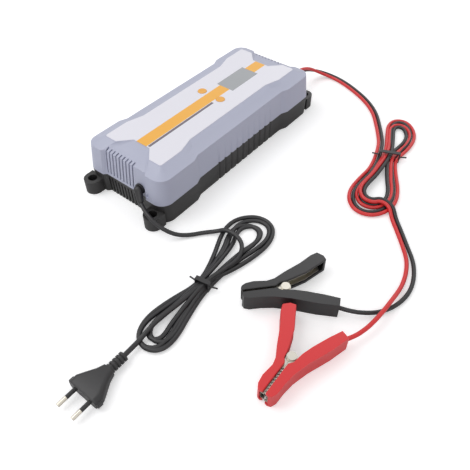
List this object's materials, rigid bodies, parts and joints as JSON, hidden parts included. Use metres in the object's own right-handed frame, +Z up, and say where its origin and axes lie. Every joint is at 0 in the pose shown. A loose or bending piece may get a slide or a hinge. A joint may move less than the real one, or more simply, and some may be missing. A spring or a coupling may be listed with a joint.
{
  "type": "car battery charger",
  "caption": "Flat mains battery charger with a display, two keys, vented plastic case, mains lead with plug and two leads with sprung battery clamps.",
  "frame": {"origin": "on the standing surface, under the middle of the case", "axes": "+X along the case from the mains end to the output end, +Z up"},
  "size_m": [0.5943, 0.3766, 0.0654],
  "materials": {
    "case_grey": "light grey-blue moulded plastic, fine texture",
    "base_black": "black moulded plastic, fine texture",
    "label_print": "printed polycarbonate film, plain stripes only",
    "lcd_glass": "clear window over a grey display",
    "key_orange": "orange key caps",
    "circuit_board": "green solder mask",
    "lcd_frame": "grey",
    "steel": "zinc plated",
    "ferrite": "dark sintered ferrite",
    "winding": "yellow winding tape",
    "capacitor": "sleeved can",
    "fuse_glass": "clear glass tube",
    "component_black": "black moulding compound",
    "heat_sink": "extruded",
    "terminal_green": "moulded",
    "cord_black": "soft black PVC",
    "tie_black": "black plastic over wire",
    "cord_red": "soft red PVC",
    "pin_nickel": "nickel-plated brass",
    "grip_black": "black moulded plastic",
    "grip_red": "red moulded plastic",
    "jaw_steel": "zinc-plated pressed steel",
    "crimp_brass": "crimped brass"
  },
  "bodies": {
    "charger": {"upper_shell": "case_grey", "lower_shell": "base_black", "label_overlay": "label_print", "lcd_window": "lcd_glass", "display_board": "circuit_board", "main_board": "circuit_board", "lcd_module": "lcd_frame", "key_switches": "lcd_frame", "board_screws": "steel", "shell_screws": "steel", "fuse_clips": "steel", "transformer_core": "ferrite", "input_choke": "ferrite", "output_inductor": "ferrite", "transformer_winding": "winding", "mains_capacitor": "capacitor", "output_capacitors": "capacitor", "mains_fuse": "fuse_glass", "rectifier_bridge": "component_black", "power_transistors": "component_black", "fan_frame": "component_black", "heat_sink_input": "heat_sink", "heat_sink_output": "heat_sink", "lead_terminals": "terminal_green", "mains_strain_relief": "cord_black", "dc_strain_relief": "cord_black", "plug_body": "cord_black", "mains_cord_lead": "cord_black", "mains_cord_tail": "cord_black", "mains_cord_hank": "cord_black", "dc_black_lead": "cord_black", "dc_black_tail": "cord_black", "dc_cord_hank": "cord_black", "mains_cord_tie": "tie_black", "dc_cord_tie": "tie_black", "plug_pin_sleeves": "tie_black", "dc_red_lead": "cord_red", "dc_red_tail": "cord_red", "plug_pins": "pin_nickel", "black_clamp_fixed_grip": "grip_black", "black_clamp_fixed_jaw": "jaw_steel", "black_clamp_rivet": "jaw_steel", "black_clamp_spring": "jaw_steel", "black_clamp_crimp": "crimp_brass", "red_clamp_fixed_grip": "grip_red", "red_clamp_fixed_jaw": "jaw_steel", "red_clamp_rivet": "jaw_steel", "red_clamp_spring": "jaw_steel", "red_clamp_crimp": "crimp_brass"},
    "fan_wheel": {"fan_rotor": "component_black"},
    "mode_button": {"key_mode": "key_orange"},
    "set_button": {"key_set": "key_orange"},
    "black_lever": {"black_clamp_lever_grip": "grip_black", "black_clamp_lever_jaw": "jaw_steel"},
    "red_lever": {"red_clamp_lever_grip": "grip_red", "red_clamp_lever_jaw": "jaw_steel"}
  },
  "joints": [
    {"name": "mode_press", "type": "slide", "parent": "charger", "child": "mode_button", "axis": [0, 0, -1], "range_m": [0, 0.0006], "stiffness_N_per_m": 800},
    {"name": "set_press", "type": "slide", "parent": "charger", "child": "set_button", "axis": [0, 0, -1], "range_m": [0, 0.0006], "stiffness_N_per_m": 800},
    {"name": "fan_spin", "type": "hinge", "parent": "charger", "child": "fan_wheel", "pos_m": [0.12, 0, 0.0276], "axis": [1, 0, 0], "continuous": true},
    {"name": "black_clamp_open", "type": "hinge", "parent": "charger", "child": "black_lever", "pos_m": [-0.1416, -0.2188, 0.0095], "axis": [0, 0, -1], "range_deg": [0, 32], "stiffness_Nm_per_rad": 2},
    {"name": "red_clamp_open", "type": "hinge", "parent": "charger", "child": "red_lever", "pos_m": [-0.2005, -0.266, 0.0095], "axis": [0, 0, -1], "range_deg": [0, 32], "stiffness_Nm_per_rad": 2}
  ]
}
